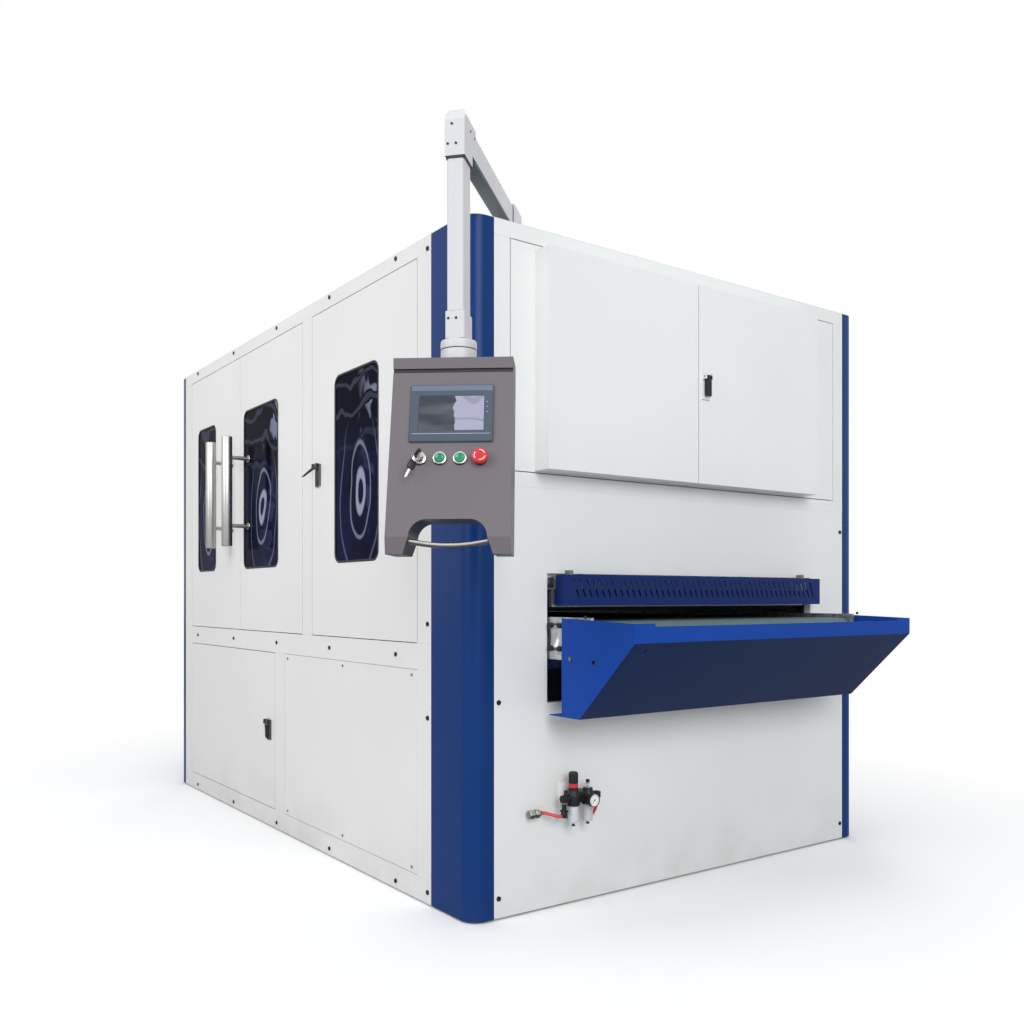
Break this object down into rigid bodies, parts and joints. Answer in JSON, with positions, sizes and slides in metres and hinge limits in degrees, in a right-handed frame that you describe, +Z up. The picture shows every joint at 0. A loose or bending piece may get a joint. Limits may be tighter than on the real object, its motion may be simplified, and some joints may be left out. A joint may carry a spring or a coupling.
{
  "type": "sheet metal deburring machine",
  "caption": "Floor-standing sheet metal deburring machine with a lifting conveyor, a wide sanding belt, flap brushes, side doors and a control pendant on a swing arm.",
  "frame": {"origin": "on the floor in the middle of the four anchor holes", "axes": "+X to the right seen from the infeed, +Y from infeed to outfeed, +Z up"},
  "size_m": [2.283, 3.6222, 2.2395],
  "materials": {
    "panel_paint": "light grey textured powder coat",
    "column_paint": "deep blue powder coat",
    "tray_paint": "bright blue powder coat",
    "guard_paint": "navy paint",
    "frame_paint": "grey paint on welded tube",
    "motor_paint": "blue machine paint",
    "arm_paint": "light grey paint",
    "console_paint": "taupe grey powder coat",
    "zinc_steel": "galvanised",
    "bright_steel": "ground",
    "stainless": "brushed",
    "chrome_plate": "polished",
    "cast_grey": "painted casting",
    "window_glass": "dark tinted",
    "bowl_clear": "clear",
    "belt_rubber": "matt green grey",
    "drum_rubber": "matt",
    "hose_red": "smooth",
    "abrasive_cloth": "abrasive grit on cloth",
    "black_plastic": "matt",
    "slate_plastic": "matt",
    "grey_plastic": "matt",
    "green_plastic": "glossy",
    "red_plastic": "satin",
    "black_steel": "blackened"
  },
  "bodies": {
    "machine": {"base_frame": "frame_paint", "foot_plates": "zinc_steel", "corner_columns": "column_paint", "front_lower_panel": "panel_paint", "front_upper_panel": "panel_paint", "side_rails": "panel_paint", "rear_panel": "panel_paint", "roof_panel": "panel_paint", "dust_spigots": "zinc_steel", "screwed_covers": "panel_paint", "panel_screws": "black_steel", "hinge_brackets": "black_steel", "cabinet_box": "panel_paint", "control_gear": "grey_plastic", "head_frame": "frame_paint", "bearing_blocks": "cast_grey", "sanding_belt": "abrasive_cloth", "head_motors": "motor_paint", "jack_housings": "motor_paint", "arm_base": "cast_grey", "air_service_unit": "black_plastic", "filter_bowls": "bowl_clear", "air_hoses": "hose_red"},
    "regulator_knob": {"regulator_knob": "black_plastic"},
    "cabinet_door_left": {"cabinet_door_left": "panel_paint"},
    "cabinet_door_right": {"cabinet_door_right": "panel_paint"},
    "cabinet_lock": {"cabinet_lock": "black_plastic"},
    "single_door": {"single_door": "panel_paint", "single_door_window": "window_glass"},
    "single_door_latch": {"single_door_latch": "black_plastic"},
    "double_door_front": {"double_door_front": "panel_paint", "double_door_front_window": "window_glass", "double_door_front_handle": "stainless"},
    "double_door_rear": {"double_door_rear": "panel_paint", "double_door_rear_window": "window_glass", "double_door_rear_handle": "stainless"},
    "lower_door": {"lower_door": "panel_paint"},
    "lower_door_lock": {"lower_door_lock": "black_plastic"},
    "infeed_guard": {"infeed_guard": "guard_paint"},
    "lifting_table": {"conveyor_frame": "zinc_steel", "conveyor_belt": "belt_rubber", "feed_trays": "tray_paint", "conveyor_motor": "motor_paint", "lift_screws": "bright_steel"},
    "tail_roller": {"tail_roller": "bright_steel"},
    "drive_roller": {"drive_roller": "bright_steel"},
    "contact_drum": {"contact_drum": "drum_rubber"},
    "tension_roller": {"tension_roller": "bright_steel"},
    "brush_roller_front": {"brush_roller_front": "abrasive_cloth"},
    "brush_roller_rear": {"brush_roller_rear": "abrasive_cloth"},
    "press_roller_front": {"press_roller_front": "drum_rubber"},
    "press_roller_rear": {"press_roller_rear": "drum_rubber"},
    "support_arm": {"support_arm": "arm_paint"},
    "console": {"console_housing": "console_paint", "touch_panel": "slate_plastic", "console_handle": "chrome_plate"},
    "key_switch": {"key_switch": "black_plastic"},
    "start_button": {"start_button": "green_plastic"},
    "reset_button": {"reset_button": "green_plastic"},
    "emergency_stop": {"emergency_stop": "red_plastic"}
  },
  "joints": [
    {"name": "cabinet_left_hinge", "type": "hinge", "parent": "machine", "child": "cabinet_door_left", "pos_m": [-0.779, -1.3745, 1.7], "axis": [0, 0, -1], "range_deg": [0, 100]},
    {"name": "cabinet_right_hinge", "type": "hinge", "parent": "machine", "child": "cabinet_door_right", "pos_m": [0.779, -1.3745, 1.7], "axis": [0, 0, 1], "range_deg": [0, 100]},
    {"name": "cabinet_lock_lever", "type": "hinge", "parent": "cabinet_door_right", "child": "cabinet_lock", "pos_m": [-0.016, -1.465, 1.717], "axis": [-1, 0, 0], "range_deg": [0, 70]},
    {"name": "single_door_hinge", "type": "hinge", "parent": "machine", "child": "single_door", "pos_m": [-0.9235, -1.065, 1.43], "axis": [0, 0, 1], "range_deg": [0, 100]},
    {"name": "single_door_latch_lever", "type": "hinge", "parent": "single_door", "child": "single_door_latch", "pos_m": [-0.944, -0.327, 1.462], "axis": [0, 1, 0], "range_deg": [-50, 20]},
    {"name": "front_leaf_hinge", "type": "hinge", "parent": "machine", "child": "double_door_front", "pos_m": [-0.9235, -0.17, 1.43], "axis": [0, 0, 1], "range_deg": [0, 100]},
    {"name": "rear_leaf_hinge", "type": "hinge", "parent": "machine", "child": "double_door_rear", "pos_m": [-0.9235, 1.19, 1.43], "axis": [0, 0, -1], "range_deg": [0, 100]},
    {"name": "lower_door_hinge", "type": "hinge", "parent": "machine", "child": "lower_door", "pos_m": [-0.9235, 1.192, 0.41], "axis": [0, 0, -1], "range_deg": [0, 100]},
    {"name": "lower_door_lock_lever", "type": "hinge", "parent": "lower_door", "child": "lower_door_lock", "pos_m": [-0.944, 0.162, 0.441], "axis": [0, 1, 0], "range_deg": [0, 70]},
    {"name": "guard_hinge", "type": "hinge", "parent": "machine", "child": "infeed_guard", "pos_m": [0, -1.394, 1.027], "axis": [-1, 0, 0], "range_deg": [0, 60]},
    {"name": "table_lift", "type": "slide", "parent": "machine", "child": "lifting_table", "axis": [0, 0, 1], "range_m": [-0.07, 0.03]},
    {"name": "drive_roller_spin", "type": "hinge", "parent": "lifting_table", "child": "drive_roller", "pos_m": [0, 1.535, 0.84], "axis": [1, 0, 0], "continuous": true},
    {"name": "tail_roller_spin", "type": "hinge", "parent": "lifting_table", "child": "tail_roller", "pos_m": [0, -1.535, 0.84], "axis": [1, 0, 0], "continuous": true},
    {"name": "tension_roller_spin", "type": "hinge", "parent": "machine", "child": "tension_roller", "pos_m": [0, -0.64, 1.737], "axis": [1, 0, 0], "continuous": true},
    {"name": "contact_drum_spin", "type": "hinge", "parent": "machine", "child": "contact_drum", "pos_m": [0, -0.64, 1.047], "axis": [1, 0, 0], "continuous": true},
    {"name": "brush_front_spin", "type": "hinge", "parent": "machine", "child": "brush_roller_front", "pos_m": [0, 0.275, 1.047], "axis": [1, 0, 0], "continuous": true},
    {"name": "brush_rear_spin", "type": "hinge", "parent": "machine", "child": "brush_roller_rear", "pos_m": [0, 0.965, 1.047], "axis": [1, 0, 0], "continuous": true},
    {"name": "press_front_spin", "type": "hinge", "parent": "machine", "child": "press_roller_front", "pos_m": [0, -1.302, 0.967], "axis": [1, 0, 0], "continuous": true},
    {"name": "press_rear_spin", "type": "hinge", "parent": "machine", "child": "press_roller_rear", "pos_m": [0, 1.302, 0.967], "axis": [1, 0, 0], "continuous": true},
    {"name": "arm_swivel", "type": "hinge", "parent": "machine", "child": "support_arm", "pos_m": [-0.635, -1.175, 2.15], "axis": [0, 0, -1], "range_deg": [-80, 20]},
    {"name": "console_swivel", "type": "hinge", "parent": "support_arm", "child": "console", "pos_m": [-1.10987, -1.59958, 1.62], "axis": [0, 0, 1], "range_deg": [-90, 90]},
    {"name": "key_turn", "type": "hinge", "parent": "console", "child": "key_switch", "pos_m": [-1.25286, -1.6403, 1.31439], "axis": [-0.6048, -0.7469, 0.2765], "range_deg": [-90, 0]},
    {"name": "start_push", "type": "slide", "parent": "console", "child": "start_button", "axis": [0.6048, 0.7469, -0.2765], "range_m": [0, 0.004], "stiffness_N_per_m": 700, "springref_m": -0.002},
    {"name": "reset_push", "type": "slide", "parent": "console", "child": "reset_button", "axis": [0.6048, 0.7469, -0.2765], "range_m": [0, 0.004], "stiffness_N_per_m": 700, "springref_m": -0.002},
    {"name": "emergency_stop_push", "type": "slide", "parent": "console", "child": "emergency_stop", "axis": [0.6048, 0.7469, -0.2765], "range_m": [0, 0.005]},
    {"name": "regulator_turn", "type": "hinge", "parent": "machine", "child": "regulator_knob", "pos_m": [-0.577, -1.425, 0.4], "axis": [0, 0, 1], "range_deg": [-180, 180]}
  ],
  "couplings": [
    {"joint": "tail_roller_spin", "follows": "drive_roller_spin", "ratio": 1},
    {"joint": "contact_drum_spin", "follows": "tension_roller_spin", "ratio": 1},
    {"joint": "brush_rear_spin", "follows": "brush_front_spin", "ratio": -1}
  ]
}
